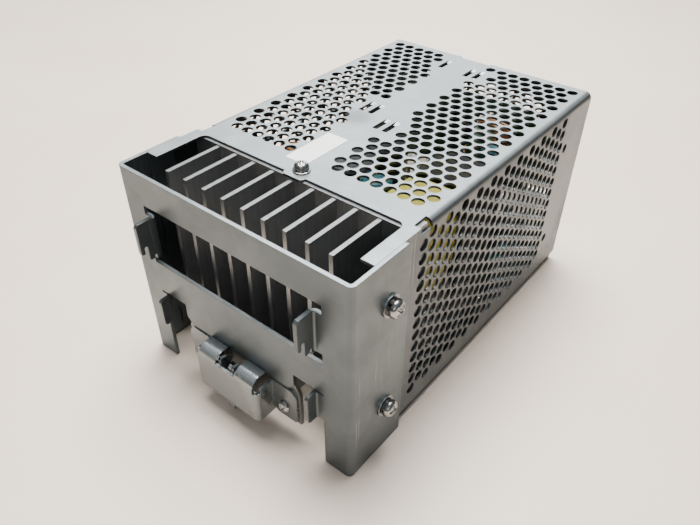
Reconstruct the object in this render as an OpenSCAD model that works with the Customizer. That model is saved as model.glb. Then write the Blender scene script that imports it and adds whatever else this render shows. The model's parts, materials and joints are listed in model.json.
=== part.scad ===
// Power supply for a 35 mm DIN rail, with a finned heat sink at the rail side.
// +Z is up, +Y points to the rail and -Y to the terminals.
// "Depth" is the distance from the mount plate's outer face towards the terminals.

/* [Housing] */
// Outside width of the perforated cover
housing_w = 110; // [108:1:112]
// Height of the whole unit above its feet
unit_h = 94; // [94:1:96]
// Depth from the mount plate's outer face to the terminal side
unit_d = 176; // [176:1:178]
// Sheet thickness of the cover
cover_t = 1; // [0.8:0.1:1]
// Outside radius of the bends between the cover's top and its sides
cover_bend_r = 3; // [2.5:0.5:3]
// Depth at which the cover's walls begin
cover_start = 12.9; // [12.5:0.1:13.5]
// Height of the cover's lower edge
cover_foot = 4; // [3.5:0.5:4.5]

/* [Perforation] */
// Distance between neighbouring holes
hole_pitch = 6; // [6:0.1:6.1]
// Diameter of the ventilation holes
hole_d = 4.8; // [4.2:0.1:5]
// Rows in the top panel
top_rows = 24; // [20:1:24]
// Columns in each side wall
side_columns = 22; // [18:1:22]
// Holes in each column of a side wall
side_holes = 13; // [10:1:13]

/* [Rear bracket] */
// Sheet thickness of the rear bracket
bracket_t = 1.6; // [1.5:0.1:1.7]
// Depth of the bracket's side flanges
flange_d = 31; // [30:1:32]
// Width of the window in front of the fins
window_w = 88.6; // [88:0.1:89]
// How far the upper rail hooks stand out of the mount plate
hook_reach = 8.1; // [8:0.1:8.2]
// Height of the top of the rail slot in the hooks
rail_top = 65.8; // [65.5:0.1:66]
// Width of the mounting rail that the unit fits
rail_w = 35; // [35:1:35]

/* [Heat sink] */
// Number of fins
fin_count = 9; // [7:1:9]
// Distance between neighbouring fins
fin_pitch = 10; // [9.8:0.1:10.2]
// Thickness of a fin
fin_t = 1.8; // [1.4:0.1:2.2]

/* [Latch] */
// Outside width of the latch housing's raised front
latch_w = 35; // [34.5:0.5:35.5]
// How far the latch housing stands out of the mount plate
latch_d = 8.2; // [8.2:0.1:8.3]
// Sheet thickness of the latch housing and slide
latch_t = 1.2; // [1.1:0.1:1.2]

/* [Hidden] */

$fn = 48;
eps = 0.01;
small = 0.2;

half_w = housing_w / 2;
rear_y = (unit_d - latch_d) / 2;
outer_half = half_w + bracket_t;
inner_half = half_w - cover_t;
row_step = hole_pitch * sqrt(3) / 2;

// Hooks and lower tabs share the planes of the rail seat.
seat_half = 39.5;
rail_bottom = rail_top - rail_w;
rail_back = 4.9;
rail_slot_w = 1.5;
hook_low = 58.8;
hook_high = 77.2;
tab_high_gap = 0.9;
tab_drop = 6.2;
bend_in_r = 0.8;
bend_out_r = bend_in_r + bracket_t;
strip_start = seat_half + bend_out_r;

window_half = window_w / 2;
tab_low = rail_bottom - tab_drop;
window_low = 53.8;
window_high = 80.6;
lower_cut_top = 38.8;
tab_high = lower_cut_top - tab_high_gap;
tongue_half = 29.7;
tongue_low = 29.5;

flange_screw_depth = 20;
end_screw_depth = 156;
screw_low = 24;
screw_high = 74;
m4_clear_r = 2.15;
m3_clear_r = 1.65;
m3_tap_r = 1.3;

sink_front = 35.5;
sink_back = 43.5;
fin_start = 10;
fin_low = 14;
fin_high = 92.5;
tray_t = 1.2;
tray_low = 0;
tray_top = tray_low + tray_t;
tray_start = 34;

cutout_edge = 36.9;
cutout_half = 49.4;
relief_start = 38;
relief_end = 45;
cover_screw_depth = 40.5;
top_first_row = 50.5;
side_first_column = 40.4;
side_first_z = 14;

board_low = 8;
board_t = 1.6;
board_top = board_low + board_t;
board_half = 50;
board_start = 46;
board_end = 171;

panel_t = 1.2;
panel_back = unit_d - panel_t;
panel_low = 40;
flange_inner = inner_half - panel_t;
hinge_depth = 171;
hinge_z = 36;
hinge_pin_r = 1.5;
running_gap = 0.06;

// ---- Helpers ----

// A box between two depths, placed by x and z limits.
module slab(x0, x1, depth0, depth1, z0, z1) {
    translate([x0, rear_y - depth1, z0]) cube([x1 - x0, depth1 - depth0, z1 - z0]);
}

// A vertical-edged box with rounded corners in plan.
module rounded_slab(x0, x1, depth0, depth1, z0, z1, r) {
    translate([0, 0, z0]) linear_extrude(z1 - z0)
        rounded_rectangle(x0, x1, rear_y - depth1, rear_y - depth0, r);
}

module rounded_rectangle(x0, x1, y0, y1, r) {
    union() {
        translate([x0 + r, y0]) square([x1 - x0 - 2 * r, y1 - y0]);
        translate([x0, y0 + r]) square([x1 - x0, y1 - y0 - 2 * r]);
        for (x = [x0 + r, x1 - r], y = [y0 + r, y1 - r]) translate([x, y]) circle(r);
    }
}

// A cylinder along Y, from one depth to a larger one.
module rod_y(x, z, depth0, depth1, r) {
    translate([x, rear_y - depth0, z]) rotate([90, 0, 0]) cylinder(h = depth1 - depth0, r = r);
}

// A cylinder along X.
module rod_x(x0, x1, depth, z, r) {
    translate([x0, rear_y - depth, z]) rotate([0, 90, 0]) cylinder(h = x1 - x0, r = r);
}

// A cylinder along Z.
module rod_z(x, depth, z0, z1, r) {
    translate([x, rear_y - depth, z0]) cylinder(h = z1 - z0, r = r);
}

// Extrudes a shape drawn as [depth, z] along X, from x0 to x1.
module extrude_side(x0, x1) {
    translate([x0, rear_y, 0]) rotate([90, 0, 90]) linear_extrude(x1 - x0) mirror([1, 0]) children();
}

// Extrudes a shape drawn as [x, z] along Y, between two depths.
module extrude_rear(depth0, depth1) {
    translate([0, rear_y - depth0, 0]) rotate([90, 0, 0]) linear_extrude(depth1 - depth0) children();
}

module both_sides() {
    children();
    mirror([1, 0, 0]) children();
}

// ---- Rear bracket ----

module mount_plate_outline() {
    difference() {
        translate([-outer_half + bend_out_r, 0]) square([2 * (outer_half - bend_out_r), unit_h]);
        translate([-window_half, window_low]) square([window_w, window_high - window_low]);
        difference() {
            translate([-window_half, -eps]) square([window_w, lower_cut_top + eps]);
            tongue_outline();
        }
    }
}

// The tongue between the two lower cut-outs has chamfered lower corners.
module tongue_outline() {
    chamfer = 3;
    polygon([
        [-tongue_half, lower_cut_top + 1], [-tongue_half, tongue_low + chamfer],
        [-tongue_half + chamfer, tongue_low], [tongue_half - chamfer, tongue_low],
        [tongue_half, tongue_low + chamfer], [tongue_half, lower_cut_top + 1]
    ]);
}

// A strip from the window's side that turns outwards in a quarter bend.
module seat_root(z0, z1) {
    slab(strip_start, window_half + small, 0, bracket_t, z0, z1);
    translate([strip_start, rear_y + bend_in_r, z0]) rotate([0, 0, 180])
        rotate_extrude(angle = 90) translate([bend_in_r, 0]) square([bracket_t, z1 - z0]);
}

// The upper hook: an outer tooth, the rail slot, an inner lobe and a relief notch.
module hook_outline() {
    tooth_in = -rail_back - rail_slot_w;
    tooth_low = rail_top - 2.3;
    chamfer = 1;
    lobe_out = -2.6;
    lobe_low = 59.6;
    notch_high = 61;
    nick = 0.6;
    difference() {
        polygon([
            [-bend_in_r, hook_high], [-hook_reach + chamfer, hook_high], [-hook_reach, hook_high - chamfer],
            [-hook_reach, tooth_low + nick], [-hook_reach + nick, tooth_low],
            [tooth_in - nick / 2, tooth_low], [tooth_in, tooth_low + nick / 2],
            [tooth_in, rail_top], [-rail_back, rail_top],
            [-rail_back, lobe_low + nick], [-rail_back + nick, lobe_low], [lobe_out - nick, lobe_low],
            [lobe_out, lobe_low + nick], [lobe_out, notch_high], [lobe_out + 1, notch_high],
            [lobe_out + 1, hook_low], [-bend_in_r, hook_low]
        ]);
        translate([-rail_back - rail_slot_w / 2, rail_top]) circle(rail_slot_w / 2);
    }
}

module lower_tab_outline() {
    chamfer = 1;
    polygon([
        [-bend_in_r, tab_high], [-rail_back + chamfer, tab_high], [-rail_back, tab_high - chamfer],
        [-rail_back, tab_low + chamfer], [-rail_back + chamfer, tab_low], [-bend_in_r, tab_low]
    ]);
}

module side_flange() {
    corner_r = 3;
    difference() {
        extrude_side(half_w, outer_half) union() {
            translate([bend_out_r, 0]) square([flange_d - bend_out_r - corner_r, unit_h]);
            translate([bend_out_r, 0]) square([flange_d - bend_out_r, unit_h - corner_r]);
            translate([flange_d - corner_r, unit_h - corner_r]) circle(corner_r);
        }
        for (z = [screw_low, screw_high]) rod_x(half_w - 1, outer_half + 1, flange_screw_depth, z, m4_clear_r);
    }
    translate([outer_half - bend_out_r, rear_y - bend_out_r, 0])
        rotate_extrude(angle = 90) translate([bend_in_r, 0]) square([bracket_t, unit_h]);
}

module rear_bracket() {
    color("silver") union() {
        extrude_rear(0, bracket_t) mount_plate_outline();
        both_sides() {
            side_flange();
            seat_root(hook_low, hook_high - 0.4);
            extrude_side(seat_half, seat_half + bracket_t) hook_outline();
            seat_root(tab_low, tab_high);
            extrude_side(seat_half, seat_half + bracket_t) lower_tab_outline();
        }
    }
}

// ---- Cover ----

// Cable-tie slots: x, start depth. Each ends in a lip that slopes down from the sheet.
slot_w = 2.5;
slot_len = 10.6;
slot_corner_r = 0.7;
slot_clear_x = 5;
slot_clear_depth = 4;
lip_len = 2.3;
lip_drop = 0.9;
lip_t = 0.6;
slot_places = [[15, 94.6], [10.25, 94.6], [0, 84.6], [-4.75, 84.6], [15, 157.1], [0, 155.1], [-4.75, 155.1]];

// A hole is left out where a slot's margin would touch it.
function near_slot(x, depth) = len([for (s = slot_places)
    if (abs(x - s[0]) < slot_clear_x && depth > s[1] - slot_clear_depth
        && depth < s[1] + slot_len + slot_clear_depth) s]) > 0;

// Every second row is shifted a half pitch, and the field at -x gains a hole by it.
left_in = 15;
right_in = -9;
field_out = 45;
function shift(r) = r % 2 == 1 ? hole_pitch / 2 : 0;
function left_xs(r) = [left_in + shift(r):hole_pitch:field_out + shift(r)];
function right_xs(r) = [-field_out - shift(r):hole_pitch:right_in + shift(r)];

module top_holes() {
    for (r = [0:top_rows - 1]) {
        depth = top_first_row + r * row_step;
        for (x = [for (a = left_xs(r)) a, for (a = right_xs(r)) a])
            if (!near_slot(x, depth)) translate([x, rear_y - depth]) circle(hole_d / 2);
    }
}

module top_slots() {
    for (s = slot_places)
        rounded_rectangle(s[0] - slot_w / 2, s[0] + slot_w / 2,
            rear_y - s[1] - slot_len, rear_y - s[1], slot_corner_r);
}

module slot_lips() {
    for (s = slot_places) {
        start = s[1] + slot_len - lip_len;
        end = s[1] + slot_len + small;
        extrude_side(s[0] - slot_w / 2 - eps, s[0] + slot_w / 2 + eps) polygon([
            [start, unit_h - lip_drop], [end, unit_h], [end, unit_h - lip_t], [start, unit_h - lip_drop - lip_t]
        ]);
    }
}

// The heat sink's cut-out with the screw tongue and the two side strips.
module sink_cutout() {
    r = 3;
    tongue_w = 10;
    tongue_out = 2;
    tongue_in = 4;
    tongue_r = 1.6;
    difference() {
        union() {
            translate([-cutout_half, rear_y - cutout_edge + r])
                square([2 * cutout_half, cutout_edge]);
            translate([-cutout_half + r, rear_y - cutout_edge])
                square([2 * (cutout_half - r), cutout_edge]);
            for (x = [-cutout_half + r, cutout_half - r])
                translate([x, rear_y - cutout_edge + r]) circle(r);
        }
        rounded_rectangle(-tongue_w / 2, tongue_w / 2,
            rear_y - cutout_edge - tongue_in, rear_y - cutout_edge + tongue_out, tongue_r);
    }
}

// The notch in the terminal-side edge.
module front_notch() {
    notch_x0 = -3;
    notch_w = 17;
    notch_d = 1.5;
    translate([notch_x0, rear_y - unit_d - 1]) square([notch_w, notch_d + 1]);
}

module cover_top() {
    bend_start = half_w - cover_bend_r;
    translate([0, 0, unit_h - cover_t]) linear_extrude(cover_t) difference() {
        union() {
            translate([-bend_start, rear_y - unit_d]) square([2 * bend_start, unit_d - cover_start]);
            translate([-half_w, rear_y - relief_start]) square([housing_w, relief_start - cover_start]);
        }
        sink_cutout();
        top_holes();
        top_slots();
        front_notch();
        translate([0, rear_y - cover_screw_depth]) circle(m4_clear_r);
    }
    slot_lips();
}

module side_holes_outline() {
    for (c = [0:side_columns - 1], k = [0:side_holes - 1])
        translate([side_first_column + c * row_step, side_first_z + (c % 2) * hole_pitch / 2 + k * hole_pitch])
            circle(hole_d / 2);
}

// Side wall; it reaches the flat strip before the relief and the bend behind it.
module cover_side() {
    wall_top = unit_h - cover_bend_r;
    extrude_side(inner_half, half_w) difference() {
        union() {
            translate([cover_start, cover_foot]) square([unit_d - cover_start, wall_top - cover_foot]);
            translate([cover_start, cover_foot]) square([relief_start - cover_start, unit_h - cover_t - cover_foot]);
        }
        side_holes_outline();
        for (depth = [flange_screw_depth, end_screw_depth], z = [screw_low, screw_high])
            translate([depth, z]) circle(m4_clear_r);
    }
    translate([half_w - cover_bend_r, rear_y - relief_end, unit_h - cover_bend_r]) rotate([90, 0, 0])
        linear_extrude(unit_d - relief_end) bend_section();
}

module bend_section() {
    difference() {
        circle(cover_bend_r);
        circle(cover_bend_r - cover_t);
        translate([-2 * cover_bend_r, -2 * cover_bend_r]) square([2 * cover_bend_r, 4 * cover_bend_r]);
        translate([-2 * cover_bend_r, -2 * cover_bend_r]) square([4 * cover_bend_r, 2 * cover_bend_r]);
    }
}

module housing_cover() {
    color("lightsteelblue") union() {
        cover_top();
        both_sides() cover_side();
    }
}

// ---- Base tray, front panel and heat sink ----

module base_tray() {
    wall_high = 12;
    color("darkgray") union() {
        slab(-inner_half, inner_half, tray_start, panel_back, tray_low, tray_top);
        both_sides() slab(inner_half - tray_t, inner_half, sink_back + 1, panel_back, tray_top - eps, wall_high);
    }
}

// The panel's upper corners follow the cover's bends.
module panel_outline() {
    corner_r = cover_bend_r - cover_t;
    panel_high = unit_h - cover_t;
    union() {
        translate([-inner_half, panel_low]) square([2 * inner_half, panel_high - corner_r - panel_low]);
        translate([-inner_half + corner_r, panel_low]) square([2 * (inner_half - corner_r), panel_high - panel_low]);
        for (side = [-1, 1]) translate([side * (inner_half - corner_r), panel_high - corner_r]) circle(corner_r - 0.02);
    }
}

module front_panel() {
    columns = 13;
    rows = 5;
    first_z = 56;
    flange_low = 13;
    flange_high = 90;
    rotor_hole_r = 3.2;
    lamp_hole_r = 2.2;
    color("silver") union() {
        difference() {
            extrude_rear(panel_back, unit_d) panel_outline();
            for (c = [0:columns - 1], k = [0:rows - 1])
                rod_y((c - (columns - 1) / 2) * row_step, first_z + (c % 2) * hole_pitch / 2 + k * hole_pitch,
                    panel_back - 1, unit_d + 1, hole_d / 2);
            rod_y(trimmer_x, trimmer_z, panel_back - 1, unit_d + 1, rotor_hole_r);
            rod_y(lamp_x, trimmer_z, panel_back - 1, unit_d + 1, lamp_hole_r);
            for (x = spacer_xs) on_panel(x, spacer_z) cylinder(h = panel_t + eps, r1 = 1.5, r2 = 2.9);
        }
        both_sides() difference() {
            slab(flange_inner, inner_half, end_screw_depth - 5, panel_back + eps, flange_low, flange_high);
            rod_x(flange_inner - 1, inner_half + 1, hinge_depth, hinge_z, hinge_pin_r + running_gap);
            for (z = [screw_low, screw_high])
                rod_x(flange_inner - 1, inner_half + 1, end_screw_depth, z, m4_clear_r);
        }
    }
}

module heat_sink() {
    sink_half = inner_half - small;
    thread_d = 14;
    tap_d = 6;
    color("gainsboro") union() {
        difference() {
            slab(-sink_half, sink_half, sink_front, sink_back, tray_top, unit_h - cover_t);
            rod_z(0, cover_screw_depth, unit_h - thread_d, unit_h, m3_clear_r);
            for (x = transistor_xs) rod_y(x, clamp_z, sink_back - tap_d, sink_back + 1, m3_tap_r);
        }
        for (i = [0:fin_count - 1]) {
            x = (i - (fin_count - 1) / 2) * fin_pitch;
            slab(x - fin_t / 2, x + fin_t / 2, fin_start, sink_front + eps, fin_low, fin_high);
        }
    }
}

// ---- Fasteners ----

// A pan-head screw with a cross recess, standing along +Z with its seat at z = 0.
module pan_screw(shank_r, length, head_r, head_h) {
    difference() {
        union() {
            translate([0, 0, -length]) cylinder(h = length, r = shank_r);
            rotate_extrude() polygon([
                [0, 0], [head_r, 0], [head_r, head_h * 0.45], [head_r * 0.86, head_h * 0.8],
                [head_r * 0.55, head_h], [0, head_h]
            ]);
        }
        for (a = [0, 90]) rotate([0, 0, a])
            translate([-head_r * 0.55, -head_r * 0.13, head_h * 0.4]) cube([head_r * 1.1, head_r * 0.26, head_h]);
    }
}

// A split lock washer, seat at z = 0.
module spring_washer(in_r, out_r, h) {
    difference() {
        cylinder(h = h, r = out_r);
        translate([0, 0, -1]) cylinder(h = h + 2, r = in_r);
        rotate([0, 0, 30]) translate([0, -0.35, -1]) cube([out_r + 1, 0.7, h + 2]);
    }
}

module flat_washer(in_r, out_r, h) {
    difference() {
        cylinder(h = h, r = out_r);
        translate([0, 0, -1]) cylinder(h = h + 2, r = in_r);
    }
}

m4_r = 1.9;
m4_head_r = 3.6;
m4_head_h = 2.7;
m4_len = 9;
m4_lock_r = 3.5;
m4_flat_r = 4.5;
flat_t = 0.8;
lock_t = 1.2;
m3_head_r = 2.7;
m3_head_h = 1.9;
m3_shank_r = 1.25;

// Puts its children on the side flanges' screw seats, +Z pointing outwards.
module on_flange_seats(lift) {
    both_sides() for (z = [screw_low, screw_high])
        translate([outer_half + lift, rear_y - flange_screw_depth, z]) rotate([0, 90, 0]) children();
}

module bracket_screws() {
    color("gainsboro") on_flange_seats(flat_t + lock_t) pan_screw(m4_r, m4_len, m4_head_r, m4_head_h);
}

module bracket_spring_washers() {
    color("gray") on_flange_seats(flat_t) spring_washer(m4_r + small, m4_lock_r, lock_t);
}

module bracket_flat_washers() {
    color("silver") on_flange_seats(0) flat_washer(m4_r + small, m4_flat_r, flat_t);
}

// Press nuts on the inside of the cover's walls, one behind each bracket screw.
module clinch_nuts() {
    nut_h = 4;
    nut_r = 3.8;
    color("silver") both_sides() for (z = [screw_low, screw_high]) difference() {
        rod_x(inner_half - nut_h, inner_half, flange_screw_depth, z, nut_r);
        rod_x(inner_half - nut_h - 1, inner_half + 1, flange_screw_depth, z, m4_r + 0.05);
    }
}

// The top screw, with its captive washers.
module cover_screw() {
    shank_r = 1.5;
    head_r = 2.9;
    head_h = 2.2;
    length = 10;
    disc_r = 3.5;
    disc_t = 0.6;
    split_t = 0.8;
    color("gainsboro") translate([0, rear_y - cover_screw_depth, unit_h]) {
        flat_washer(shank_r, disc_r, disc_t);
        translate([0, 0, disc_t]) spring_washer(shank_r, head_r, split_t);
        translate([0, 0, disc_t + split_t]) pan_screw(shank_r, length, head_r, head_h);
    }
}

// ---- Latch ----

latch_half = latch_w / 2;
latch_low = 9.6;
latch_top = rail_bottom - 0.3;
curl_r = 5;
latch_bend_r = 2.4;
notch_half = 5.3;
ear_half = 30;
ear_low = 10.6;
ear_high = 27.2;
latch_screw_x = 23.6;
latch_screw_z = 16.3;
slide_back = 5.5;
slide_half = 4.2;
spring_x = 0;
spring_depth = -2.2;
spring_r = 1.7;
spring_low = 13.4;
spring_high = 22;

// Side section of the raised front and its rolled top.
module curl_section() {
    difference() {
        union() {
            translate([-latch_d, latch_low]) square([latch_t, latch_top - curl_r - latch_low]);
            translate([-latch_d + curl_r, latch_top - curl_r]) circle(curl_r);
            translate([-latch_d + curl_r, latch_top - latch_t]) square([latch_d - curl_r - small, latch_t]);
        }
        translate([-latch_d + curl_r, latch_top - curl_r]) circle(curl_r - latch_t);
        translate([-latch_d + latch_t, latch_top - 2.5 * curl_r]) square([2 * curl_r, 1.5 * curl_r]);
        translate([-latch_d + curl_r, latch_top - 2.5 * curl_r]) square([2 * curl_r, 2.5 * curl_r - latch_t]);
    }
}

// Plan of the raised front: one strip bent round both corners, open towards the plate.
module latch_band() {
    reach = 6;
    difference() {
        rounded_rectangle(-latch_half, latch_half, rear_y - bracket_t - reach, rear_y + latch_d, latch_bend_r);
        rounded_rectangle(-latch_half + latch_t, latch_half - latch_t,
            rear_y - bracket_t - 2 * reach, rear_y + latch_d - latch_t, latch_bend_r - latch_t);
        translate([-latch_w, rear_y - bracket_t - 2 * reach]) square([2 * latch_w, 2 * reach]);
    }
}

module latch_housing() {
    front_high = 24.5;
    wall_high = 26.5;
    color("silver") difference() {
        union() {
            extrude_side(-latch_half + latch_bend_r, latch_half - latch_bend_r) curl_section();
            translate([0, 0, latch_low]) linear_extrude(front_high - latch_low) latch_band();
            both_sides() {
                slab(latch_half - latch_t, latch_half, latch_bend_r - latch_d, bracket_t, front_high - eps, wall_high);
                extrude_rear(bracket_t - latch_t, bracket_t) polygon([
                    [latch_half - latch_t, latch_low + 4], [latch_half + 2.5, ear_low],
                    [ear_half - 1, ear_low], [ear_half, ear_low + 1], [ear_half, ear_high - 2.5],
                    [ear_half - 2.5, ear_high], [latch_half - latch_t, ear_high]
                ]);
            }
        }
        slab(-notch_half, notch_half, -latch_d - 1, 1, latch_top - 3.6, latch_top + 1);
        both_sides() rod_y(latch_screw_x, latch_screw_z, -1, bracket_t + 1, m3_clear_r);
    }
}

// The plate behind the ears, spot-welded to the mount plate's tongue, with the spring's seat.
module latch_backing_plate() {
    color("tan") difference() {
        union() {
            extrude_rear(bracket_t, 2 * bracket_t) polygon([
                [-ear_half - 1, ear_low - 1], [ear_half + 1, ear_low - 1],
                [ear_half + 1, ear_high - 1], [tongue_half - 2, 33], [tongue_half - 2, 48],
                [-tongue_half + 2, 48], [-tongue_half + 2, 33], [-ear_half - 1, ear_high - 1]
            ]);
            slab(-3, 3, -4.6, bracket_t, spring_low - latch_t, spring_low);
        }
        both_sides() rod_y(latch_screw_x, latch_screw_z, 0, 2 * bracket_t + 1, 1.35);
    }
}

module latch_screws() {
    color("gainsboro") both_sides()
        translate([latch_screw_x, rear_y - bracket_t + latch_t, latch_screw_z]) rotate([-90, 0, 0])
            pan_screw(m3_tap_r, 4.2, m3_head_r, 1.8);
}

// Cheek of the slide: the nose that holds the rail's lower edge, then a curved back.
module cheek_outline() {
    nose_high = rail_bottom + 1;
    nose_low = rail_bottom - 0.9;
    polygon([
        [-slide_back - latch_t, 20], [-slide_back - latch_t, nose_low], [-latch_d + 0.3, nose_low + 0.6],
        [-latch_d + 0.3, nose_high - 0.9], [-7, nose_high], [-6.6, nose_high],
        [-6.55, nose_low], [-3.4, nose_low - 0.4], [-1.4, nose_low - 1.6],
        [-0.6, nose_low - 3.4], [-0.6, 26], [-4.2, 22.6], [-4.2, 20]
    ]);
}

module latch_slide() {
    color("lightgray") union() {
        extrude_rear(-slide_back - latch_t, -slide_back) polygon([
            [-slide_half, 24], [-slide_half, 9.5], [-2.4, 7.8], [-1.2, 3.6], [1.2, 3.6],
            [2.4, 7.8], [slide_half, 9.5], [slide_half, 24]
        ]);
        slab(-slide_half, slide_half, -slide_back - eps, -small, spring_high, spring_high + latch_t);
        both_sides() extrude_side(slide_half - latch_t, slide_half) cheek_outline();
    }
}

// A closed tube swept along a helix.
function helix_point(i, n, turns, r, z0, z1) =
    [r * cos(360 * turns * i / n), r * sin(360 * turns * i / n), z0 + (z1 - z0) * i / n];

module latch_spring() {
    turns = 5;
    rings = 80;
    sides = 8;
    wire_r = 0.3;
    z0 = spring_low + wire_r;
    z1 = spring_high - wire_r - 0.05;
    points = [for (i = [0:rings], k = [0:sides - 1])
        let (a = 360 * turns * i / rings, c = helix_point(i, rings, turns, spring_r, z0, z1),
            ring_r = wire_r * cos(360 * k / sides), up = wire_r * sin(360 * k / sides))
        [c[0] + ring_r * cos(a), c[1] + ring_r * sin(a), c[2] + up]];
    walls = [for (i = [0:rings - 1], k = [0:sides - 1])
        [i * sides + k, i * sides + (k + 1) % sides, (i + 1) * sides + (k + 1) % sides, (i + 1) * sides + k]];
    first_cap = [[for (k = [sides - 1:-1:0]) k]];
    last_cap = [[for (k = [0:sides - 1]) rings * sides + k]];
    color("dimgray") translate([spring_x, rear_y - spring_depth, 0])
        polyhedron(points, concat(walls, first_cap, last_cap));
}

// ---- Label and boards ----

module blank_label() {
    film_t = 0.15;
    label_x = [1.5, 11.8];
    label_depth = [44.2, 69.6];
    color("white") slab(label_x[0], label_x[1], label_depth[0], label_depth[1], unit_h, unit_h + film_t);
}

standoff_places = [[46, 52], [-46, 52], [46, 111], [-46, 111], [46, 148], [-46, 148]];

module main_board() {
    color("darkolivegreen") difference() {
        slab(-board_half, board_half, board_start, board_end, board_low, board_top);
        for (p = standoff_places) rod_z(p[0], p[1], board_low - 1, board_top + 1, m3_clear_r);
    }
}

module board_standoffs() {
    color("khaki") for (p = standoff_places) difference() {
        rod_z(p[0], p[1], tray_top, board_low, 3);
        rod_z(p[0], p[1], tray_top - 1, board_low + 1, 1.3);
    }
}

module board_screws() {
    color("gainsboro") for (p = standoff_places)
        translate([p[0], rear_y - p[1], board_top]) pan_screw(m3_shank_r, 5, m3_head_r, m3_head_h);
}

module insulating_sheet() {
    color("dimgray") difference() {
        slab(-49, 49, board_start, 168, tray_top, tray_top + 0.5);
        for (p = standoff_places) rod_z(p[0], p[1], tray_top - 1, tray_top + 1, 3.3);
    }
}

// ---- Wound parts ----

transformer_x = -37;
transformer_half = 12.5;
transformer_start = 80;
transformer_end = 104;
winding_bulge = 2;
window_floor = 45;
window_roof = 73;
leg_w = 3.5;
frame_low = 34;
frame_high = 86;

// The ferrite frame round the transformer's winding.
module transformer_core() {
    color("dimgray") difference() {
        slab(transformer_x - transformer_half, transformer_x + transformer_half,
            transformer_start, transformer_end, frame_low, frame_high);
        slab(transformer_x - transformer_half + leg_w, transformer_x + transformer_half - leg_w,
            transformer_start - 1, transformer_end + 1, window_floor, window_roof);
    }
}

module transformer_bobbin() {
    color("black") rounded_slab(transformer_x - transformer_half + 1, transformer_x + transformer_half - 1,
        transformer_start - 1, transformer_end + 1, board_top, frame_low, 2);
}

module transformer_winding() {
    half = transformer_half - leg_w - 0.1;
    color("khaki") extrude_rear(transformer_start - winding_bulge, transformer_end + winding_bulge)
        rounded_rectangle(transformer_x - half, transformer_x + half, window_floor + 0.1, window_roof - 0.1, 4);
}

boost_x0 = -48;
boost_x1 = -26;
boost_start = 55;
boost_end = 76;
boost_middle = 48;
boost_high = 86;

module boost_choke_core() {
    color("dimgray") rounded_slab(boost_x0, boost_x1, boost_start, boost_end, board_top, boost_middle, 2);
}

module boost_choke_winding() {
    color("khaki") rounded_slab(boost_x0, boost_x1, boost_start, boost_end, boost_middle, boost_high, 5);
}

// A ring core about the Z axis.
module ring(in_r, out_r, h) {
    difference() {
        cylinder(h = h, r = out_r, center = true);
        cylinder(h = h + 2, r = in_r, center = true);
    }
}

// Square loops of wire round a ring core.
module turns_of(in_r, out_r, h, count) {
    wire = 1.2;
    for (i = [0:count - 1]) rotate([0, 0, i * 360 / count]) difference() {
        translate([in_r - wire, -wire / 2, -h / 2 - wire]) cube([out_r - in_r + 2 * wire, wire, h + 2 * wire]);
        translate([in_r - 0.05, -wire, -h / 2]) cube([out_r - in_r + 0.05, 2 * wire, h]);
    }
}

// Stands a ring on edge, its axis along X; the place is x, depth, z.
module wound_place(at) {
    translate([at[0], rear_y - at[1], at[2]]) rotate([0, 90, 0]) children();
}

// Ring chokes: place, then the ring's inner radius, outer radius and thickness.
line_choke_at = [33, 70, 65];
line_ring = [8, 14, 12];
line_turns = 20;
output_choke_at = [-24, 142, 69.5];
output_ring = [7, 12, 11];
output_turns = 18;

module line_choke_core() {
    color("darkslategray") wound_place(line_choke_at) ring(line_ring[0], line_ring[1], line_ring[2]);
}

module line_choke_winding() {
    color("peru") wound_place(line_choke_at) turns_of(line_ring[0], line_ring[1], line_ring[2], line_turns);
}

module output_choke_core() {
    color("darkgreen") wound_place(output_choke_at) ring(output_ring[0], output_ring[1], output_ring[2]);
}

module output_choke_winding() {
    color("peru") wound_place(output_choke_at) turns_of(output_ring[0], output_ring[1], output_ring[2], output_turns);
}

// Posts that carry the two ring chokes above the board, each with a cradle for its ring.
module choke_holder(at, half_x, half_depth, reach) {
    difference() {
        slab(at[0] - half_x, at[0] + half_x, at[1] - half_depth, at[1] + half_depth, board_top, at[2] - 4);
        rod_x(at[0] - half_x - 1, at[0] + half_x + 1, at[1], at[2], reach);
    }
}

module choke_holders() {
    cradle_gap = 1.3;
    color("black") {
        choke_holder(line_choke_at, line_ring[2] / 2, 11, line_ring[1] + cradle_gap);
        choke_holder(output_choke_at, output_ring[2] / 2, 8.5, output_ring[1] + cradle_gap);
    }
}

// ---- Capacitors, fuse and semiconductors ----

// A can with a rolled groove near its base.
module can(x, depth, r, h) {
    translate([x, rear_y - depth, board_top]) rotate_extrude() polygon([
        [0, 0], [r, 0], [r, 2], [r - 0.5, 2.5], [r, 3], [r, h - 1], [r - 1, h], [0, h]
    ]);
}

module bulk_capacitors() {
    color("darkslategray") for (depth = [104, 130]) can(27, depth, 12.5, 52);
}

module output_capacitors() {
    color("teal") {
        can(-14, 68, 6.5, 74);
        can(-36, 122, 5, 73);
        for (depth = [120, 129, 138]) can(-46, depth, 3.8, 20);
    }
}

module film_capacitors() {
    film_high = 30;
    color("gold") for (depth = [86, 100]) slab(-10, 12, depth, depth + 10, board_top, film_high);
}

// Discs on two short leads.
module disc_capacitors() {
    disc_r = 4.6;
    disc_z = board_top + 6.5;
    color("steelblue") for (x = [-4, 7], depth = [130, 138]) union() {
        rod_y(x, disc_z, depth, depth + 3, disc_r);
        for (side = [-2.5, 2.5]) slab(x + side - 0.3, x + side + 0.3, depth + 1.2, depth + 1.8, board_top, disc_z);
    }
}

fuse_depth = 119;
fuse_z = board_top + 5;
fuse_x0 = -12;
fuse_x1 = 12;
fuse_cap_len = 4;
fuse_cap_r = 3.1;
fuse_bore_r = 2.6;

module fuse_body() {
    color("white") rod_x(fuse_x0 + 1, fuse_x1 - 1, fuse_depth, fuse_z, fuse_bore_r - 0.02);
}

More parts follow.
